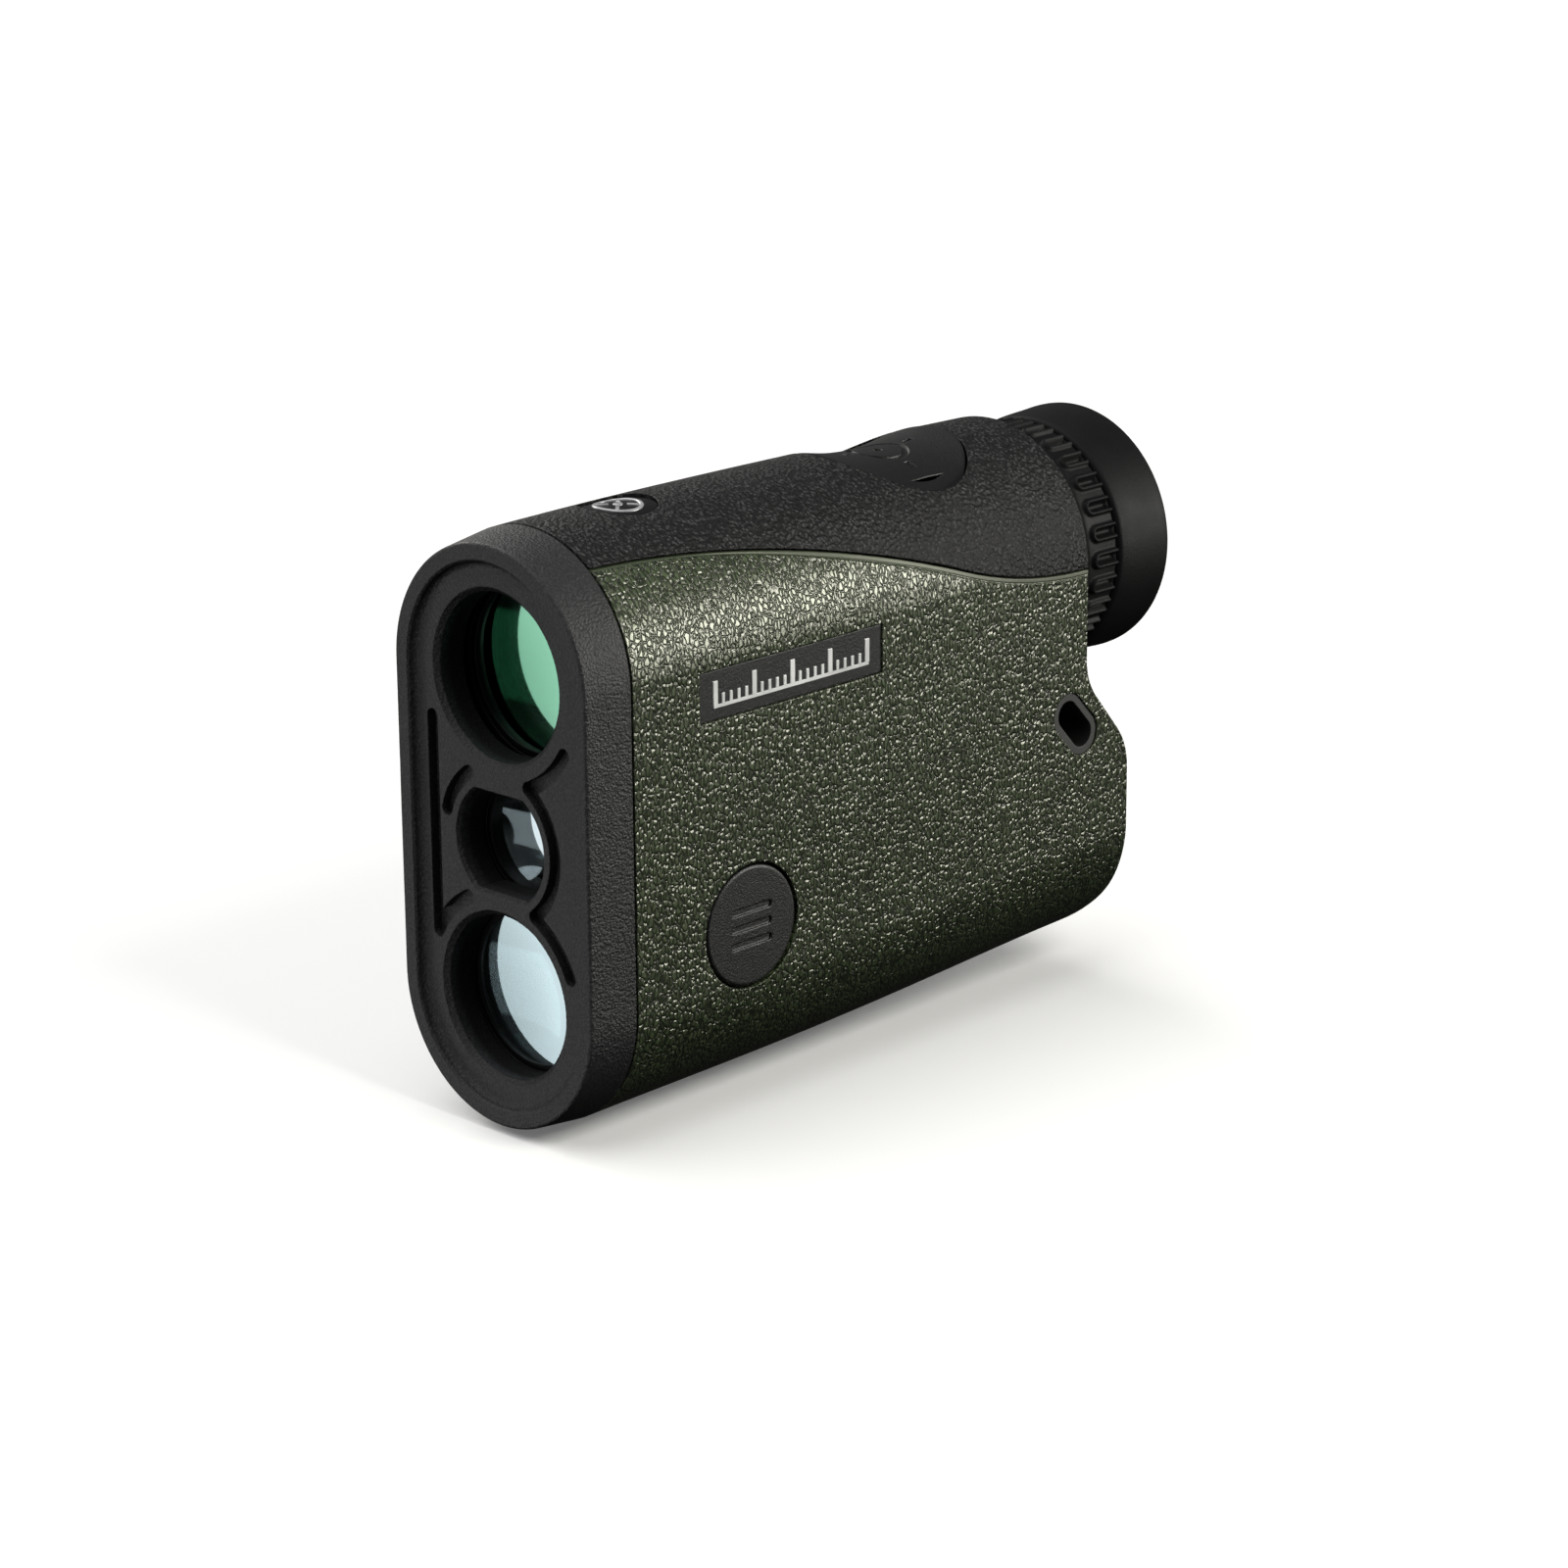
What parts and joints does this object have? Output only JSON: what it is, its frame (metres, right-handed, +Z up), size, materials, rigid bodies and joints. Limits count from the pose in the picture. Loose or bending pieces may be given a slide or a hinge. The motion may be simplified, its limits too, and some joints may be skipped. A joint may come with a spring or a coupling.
{
  "type": "laser rangefinder monocular",
  "caption": "Hand-held laser rangefinder with three front apertures, rear eyepiece with turning dioptre ring, top measuring button, side button and rear battery cap.",
  "frame": {"origin": "centre of the bounding box's bottom face, under the middle of the instrument", "axes": "+Y from the objective end to the eyepiece (the longest way), +X towards the side button (the narrowest way), +Z up"},
  "size_m": [0.0342, 0.1048, 0.0737],
  "materials": {
    "shell_green": "dark olive moulded leather grain, semi-gloss",
    "cover_rubber": "fine pebbled black",
    "bezel_black": "satin black, fine texture",
    "button_black": "smooth satin black",
    "gloss_black": "polished black with a silver motif",
    "bar_black": "black with a white tick scale",
    "cup_rubber": "smooth matte black",
    "seal_rubber": "matte black",
    "sleeve_black": "matte black",
    "cap_black": "satin black",
    "black_alloy": "black anodised",
    "screw_steel": "black zinc",
    "shield_tin": "tinned",
    "green_coated_glass": "green anti-reflection coating",
    "clear_coated_glass": "blue-violet coating",
    "prism_glass": "polished",
    "board_green": "solder mask",
    "chip_black": "moulded package",
    "switch_body": "moulded",
    "display_glass": "dark polarised panel",
    "flex_amber": "polyimide film",
    "diode_metal": "gold-flashed can",
    "contact_brass": "bright",
    "battery_wrap": "plain sleeve"
  },
  "bodies": {
    "housing": {"left_shell": "shell_green", "right_shell": "shell_green", "top_cover": "cover_rubber", "front_bezel": "bezel_black", "top_badge": "gloss_black", "left_name_bar": "bar_black", "right_name_bar": "bar_black", "bezel_gasket": "seal_rubber", "measure_membrane": "seal_rubber", "side_membrane": "seal_rubber", "lanyard_sleeve": "sleeve_black", "battery_tube": "sleeve_black", "prism_cage": "sleeve_black", "objective_cell": "black_alloy", "objective_retainer": "black_alloy", "eyepiece_mount": "black_alloy", "emitter_cell": "black_alloy", "emitter_retainer": "black_alloy", "receiver_cell": "black_alloy", "receiver_retainer": "black_alloy", "optics_frame": "black_alloy", "shell_screws": "screw_steel", "frame_screws": "screw_steel", "receiver_shield": "shield_tin", "objective_lens": "green_coated_glass", "emitter_lens": "clear_coated_glass", "receiver_lens": "clear_coated_glass", "roof_prism": "prism_glass", "half_prism": "prism_glass", "main_board": "board_green", "laser_board": "board_green", "receiver_board": "board_green", "measure_board": "board_green", "side_board": "board_green", "board_chips": "chip_black", "measure_switch": "switch_body", "side_switch": "switch_body", "display_module": "display_glass", "display_flex": "flex_amber", "laser_diode": "diode_metal", "photodiode": "diode_metal", "front_contact": "contact_brass", "battery": "battery_wrap"},
    "measure_key": {"measure_button": "button_black"},
    "side_key": {"side_button": "button_black"},
    "ocular_slide": {"ocular_cell": "black_alloy", "field_lens": "clear_coated_glass", "lens_spacer": "black_alloy", "eye_lens": "clear_coated_glass", "ocular_retainer": "black_alloy"},
    "dioptre": {"dioptre_ring": "cup_rubber", "eyecup": "cup_rubber"},
    "cap_slide": {"cap_contact": "contact_brass"},
    "cap": {"battery_cap": "cap_black", "battery_cap_seal": "seal_rubber"}
  },
  "joints": [
    {"name": "measure_press", "type": "slide", "parent": "housing", "child": "measure_key", "axis": [0, 0, -1], "range_m": [0, 0.0007], "stiffness_N_per_m": 900},
    {"name": "side_press", "type": "slide", "parent": "housing", "child": "side_key", "axis": [-1, 0, 0], "range_m": [0, 0.0006], "stiffness_N_per_m": 900},
    {"name": "dioptre_travel", "type": "slide", "parent": "housing", "child": "ocular_slide", "axis": [0, 1, 0], "range_m": [-0.001, 0.001]},
    {"name": "dioptre_turn", "type": "hinge", "parent": "ocular_slide", "child": "dioptre", "pos_m": [0, 0.0426, 0.05605], "axis": [0, 1, 0], "range_deg": [-60, 60]},
    {"name": "battery_cap_travel", "type": "slide", "parent": "housing", "child": "cap_slide", "axis": [0, 1, 0], "range_m": [0, 0.0045]},
    {"name": "battery_cap_turn", "type": "hinge", "parent": "cap_slide", "child": "cap", "pos_m": [0, 0.0426, 0.0185], "axis": [0, 1, 0], "range_deg": [0, 1080]}
  ],
  "couplings": [
    {"joint": "dioptre_turn", "follows": "dioptre_travel", "rad_per_m": 1047},
    {"joint": "battery_cap_turn", "follows": "battery_cap_travel", "rad_per_m": 4188}
  ]
}
